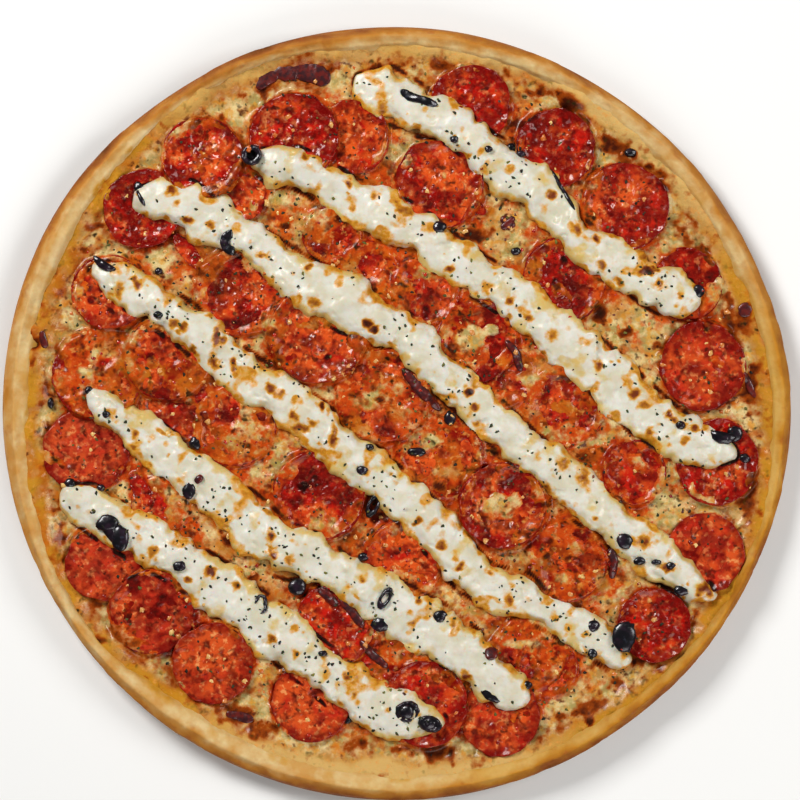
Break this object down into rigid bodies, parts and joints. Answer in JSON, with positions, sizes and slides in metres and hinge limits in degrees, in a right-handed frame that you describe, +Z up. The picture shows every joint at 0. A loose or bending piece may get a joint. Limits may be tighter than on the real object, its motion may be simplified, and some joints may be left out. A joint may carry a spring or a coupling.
{
  "type": "pepperoni pizza",
  "caption": "Whole round pizza with a risen crust, melted cheese, pepperoni slices, diagonal stripes of baked cream and black olive pieces.",
  "frame": {"origin": "middle of the crust's flat underside", "axes": "+Z up out of the toppings, +Y towards the first cream stripe, +X to the right seen from above"},
  "size_m": [0.3596, 0.3526, 0.0192],
  "materials": {
    "crust": "baked dough, matt with a faint sheen",
    "cheese": "melted, oily, browned in places",
    "pepperoni_gloss": "wet, dark curled edge",
    "pepperoni_matt": "flatter, brick red, less oil",
    "cream": "soft white with browned spots",
    "olive": "shiny black"
  },
  "bodies": {
    "root": {"crust": "crust", "melted_cheese": "cheese", "pepperoni_01": "pepperoni_matt", "pepperoni_02": "pepperoni_gloss", "pepperoni_03": "pepperoni_matt", "pepperoni_04": "pepperoni_matt", "pepperoni_05": "pepperoni_gloss", "pepperoni_06": "pepperoni_matt", "pepperoni_07": "pepperoni_gloss", "pepperoni_08": "pepperoni_matt", "pepperoni_09": "pepperoni_gloss", "pepperoni_10": "pepperoni_gloss", "pepperoni_11": "pepperoni_gloss", "pepperoni_12": "pepperoni_gloss", "pepperoni_13": "pepperoni_gloss", "pepperoni_14": "pepperoni_matt", "pepperoni_15": "pepperoni_matt", "pepperoni_16": "pepperoni_gloss", "pepperoni_17": "pepperoni_matt", "pepperoni_18": "pepperoni_matt", "pepperoni_19": "pepperoni_gloss", "pepperoni_20": "pepperoni_matt", "pepperoni_21": "pepperoni_matt", "pepperoni_22": "pepperoni_gloss", "pepperoni_23": "pepperoni_gloss", "pepperoni_24": "pepperoni_gloss", "pepperoni_25": "pepperoni_gloss", "pepperoni_26": "pepperoni_gloss", "pepperoni_27": "pepperoni_matt", "pepperoni_28": "pepperoni_matt", "pepperoni_29": "pepperoni_matt", "pepperoni_30": "pepperoni_matt", "pepperoni_31": "pepperoni_matt", "pepperoni_32": "pepperoni_gloss", "pepperoni_33": "pepperoni_gloss", "pepperoni_34": "pepperoni_matt", "pepperoni_35": "pepperoni_matt", "pepperoni_36": "pepperoni_gloss", "cream_stripe_1": "cream", "cream_stripe_2": "cream", "cream_stripe_3": "cream", "cream_stripe_4": "cream", "cream_stripe_5": "cream", "cream_stripe_6": "cream", "olive_01": "olive", "olive_02": "olive", "olive_03": "olive", "olive_04": "olive", "olive_05": "olive", "olive_06": "olive", "olive_07": "olive", "olive_08": "olive", "olive_09": "olive", "olive_10": "olive", "olive_11": "olive", "olive_12": "olive", "olive_13": "olive", "olive_14": "olive", "olive_15": "olive", "olive_16": "olive"}
  },
  "joints": []
}
